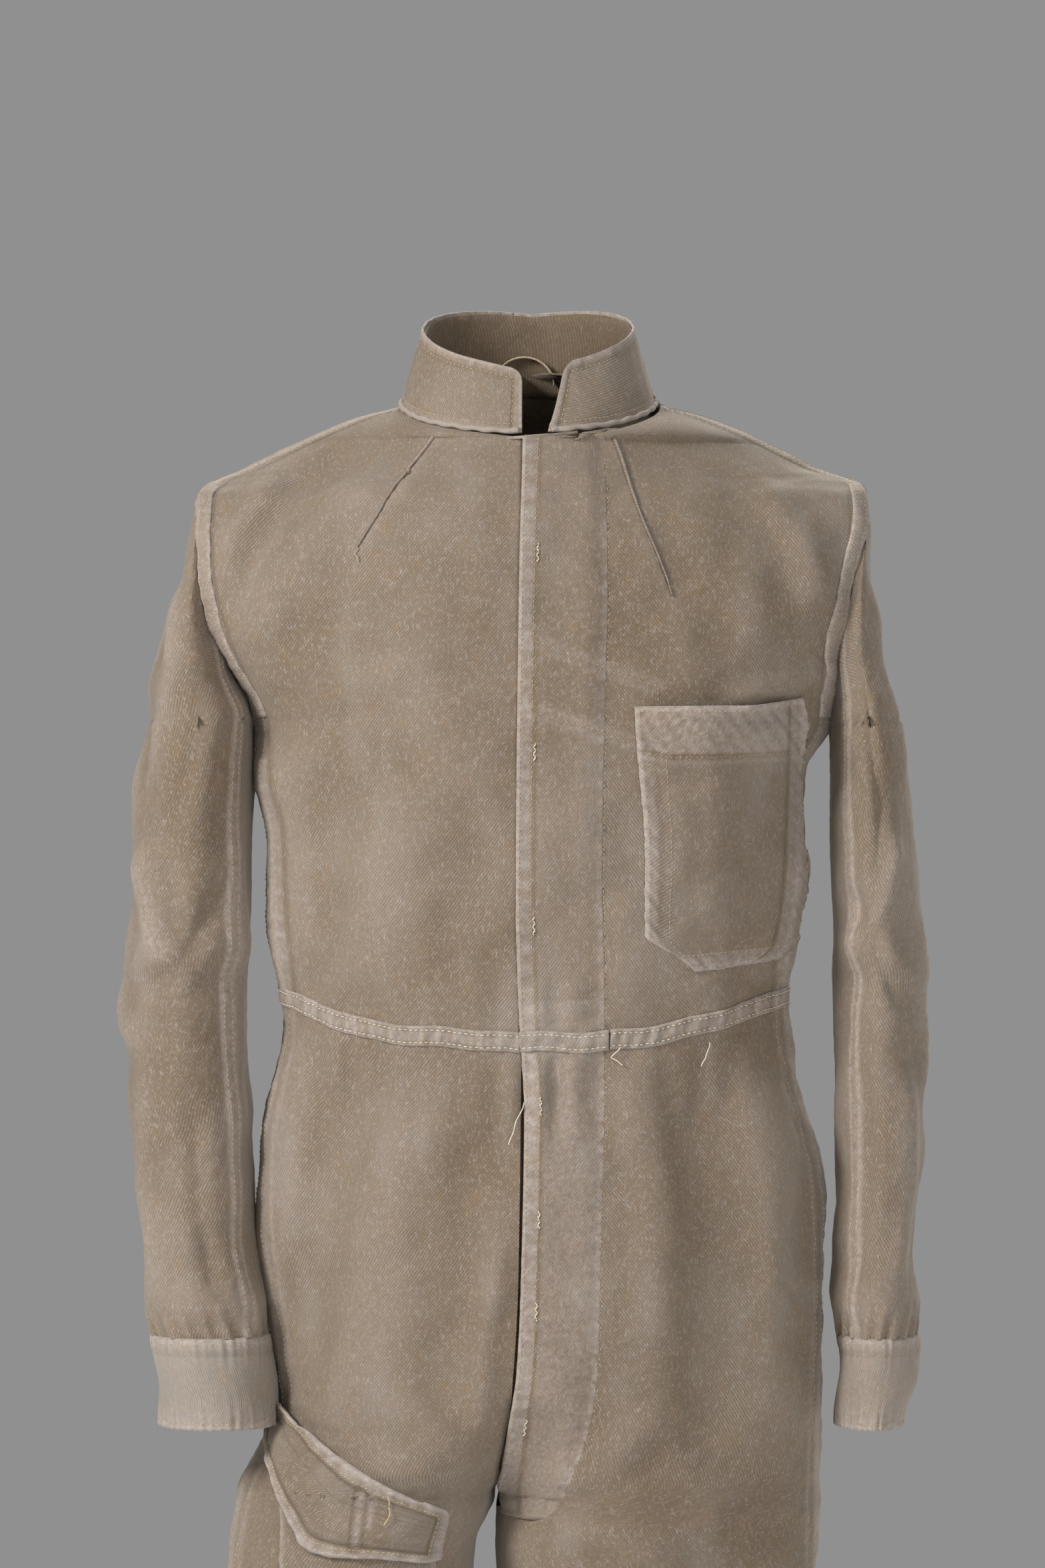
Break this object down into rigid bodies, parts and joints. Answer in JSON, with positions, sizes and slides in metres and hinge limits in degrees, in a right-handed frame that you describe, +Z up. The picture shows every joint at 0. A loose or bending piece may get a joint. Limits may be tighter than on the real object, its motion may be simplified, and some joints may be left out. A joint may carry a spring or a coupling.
{
  "type": "coverall",
  "caption": "Long-sleeved cotton twill work coverall with a stand collar, a buttoned overlap front, a chest patch pocket and a slanted thigh pocket flap.",
  "frame": {"origin": "middle of the neck opening, level with the sides of the collar's base", "axes": "+Z up along the hanging garment, the front faces -Y, the wearer's left is +X"},
  "size_m": [0.5434, 0.2539, 1.579],
  "materials": {
    "twill": "faded khaki cotton twill, matt, with pale slubs",
    "twill_worn": "khaki cotton twill worn paler along its edges",
    "twill_inside": "inside face of the khaki twill, less faded",
    "tape": "narrow cotton tape",
    "button": "brown four-hole buttons",
    "hook_metal": "dull hook and eye",
    "thread": "cream and tan sewing cotton"
  },
  "bodies": {
    "torso": {"collar_outer": "twill_worn", "collar_lining": "twill_inside", "hanging_loop": "tape", "collar_hook": "hook_metal", "collar_eye": "hook_metal", "bodice_front_right": "twill", "bodice_front_left": "twill", "bodice_back_right": "twill", "bodice_back_left": "twill", "sleeve_cap_right": "twill", "sleeve_cap_left": "twill", "chest_strap": "twill", "chest_pocket": "twill_worn", "placket_top": "twill_worn", "button_stand": "twill_inside", "fly_shield": "twill_inside", "buttons": "button", "waist_band_right": "twill_worn", "waist_band_left": "twill_worn", "waist_band_back": "twill_worn", "trouser_front_right": "twill", "trouser_front_left": "twill", "trouser_back_right": "twill", "trouser_back_left": "twill", "thigh_pocket": "twill", "fly_end": "twill_worn"},
    "front_overlap": {"overlap_bodice": "twill_worn", "overlap_fly": "twill_worn", "buttonhole_strip_bodice": "twill_inside", "buttonhole_strip_fly": "twill_inside"},
    "pocket_flap": {"thigh_flap": "twill_worn", "thigh_flap_lining": "twill_inside"},
    "upper_arm_right": {"upper_sleeve_right": "twill"},
    "upper_arm_left": {"upper_sleeve_left": "twill"},
    "forearm_right": {"forearm_sleeve_right": "twill", "cuff_right": "twill_worn", "cuff_facing_right": "twill_inside"},
    "forearm_left": {"forearm_sleeve_left": "twill", "cuff_left": "twill_worn", "cuff_facing_left": "twill_inside"},
    "shin_right": {"lower_leg_right": "twill", "leg_hem_right": "twill_worn"},
    "shin_left": {"lower_leg_left": "twill", "leg_hem_left": "twill_worn"}
  },
  "joints": [
    {"name": "shoulder_right", "type": "hinge", "parent": "torso", "child": "upper_arm_right", "pos_m": [-0.205, 0, -0.08], "axis": [0, 1, 0], "range_deg": [0, 50]},
    {"name": "shoulder_left", "type": "hinge", "parent": "torso", "child": "upper_arm_left", "pos_m": [0.205, 0, -0.08], "axis": [0, -1, 0], "range_deg": [0, 50]},
    {"name": "elbow_right", "type": "hinge", "parent": "upper_arm_right", "child": "forearm_right", "pos_m": [-0.2377, -0.004, -0.39], "axis": [-1, 0, 0], "range_deg": [0, 45]},
    {"name": "elbow_left", "type": "hinge", "parent": "upper_arm_left", "child": "forearm_left", "pos_m": [0.2398, -0.004, -0.39], "axis": [-1, 0, 0], "range_deg": [0, 45]},
    {"name": "knee_right", "type": "hinge", "parent": "torso", "child": "shin_right", "pos_m": [-0.117, 0, -1.13], "axis": [1, 0, 0], "range_deg": [0, 45]},
    {"name": "knee_left", "type": "hinge", "parent": "torso", "child": "shin_left", "pos_m": [0.09, 0, -1.13], "axis": [1, 0, 0], "range_deg": [0, 45]},
    {"name": "front_overlap_opens", "type": "hinge", "parent": "torso", "child": "front_overlap", "pos_m": [0.05, -0.1285, -0.4], "axis": [0, 0, 1], "range_deg": [0, 60]},
    {"name": "pocket_flap_lifts", "type": "hinge", "parent": "torso", "child": "pocket_flap", "pos_m": [-0.118, -0.113, -0.716], "axis": [-0.8272, 0.2086, 0.5218], "range_deg": [0, 80]}
  ]
}
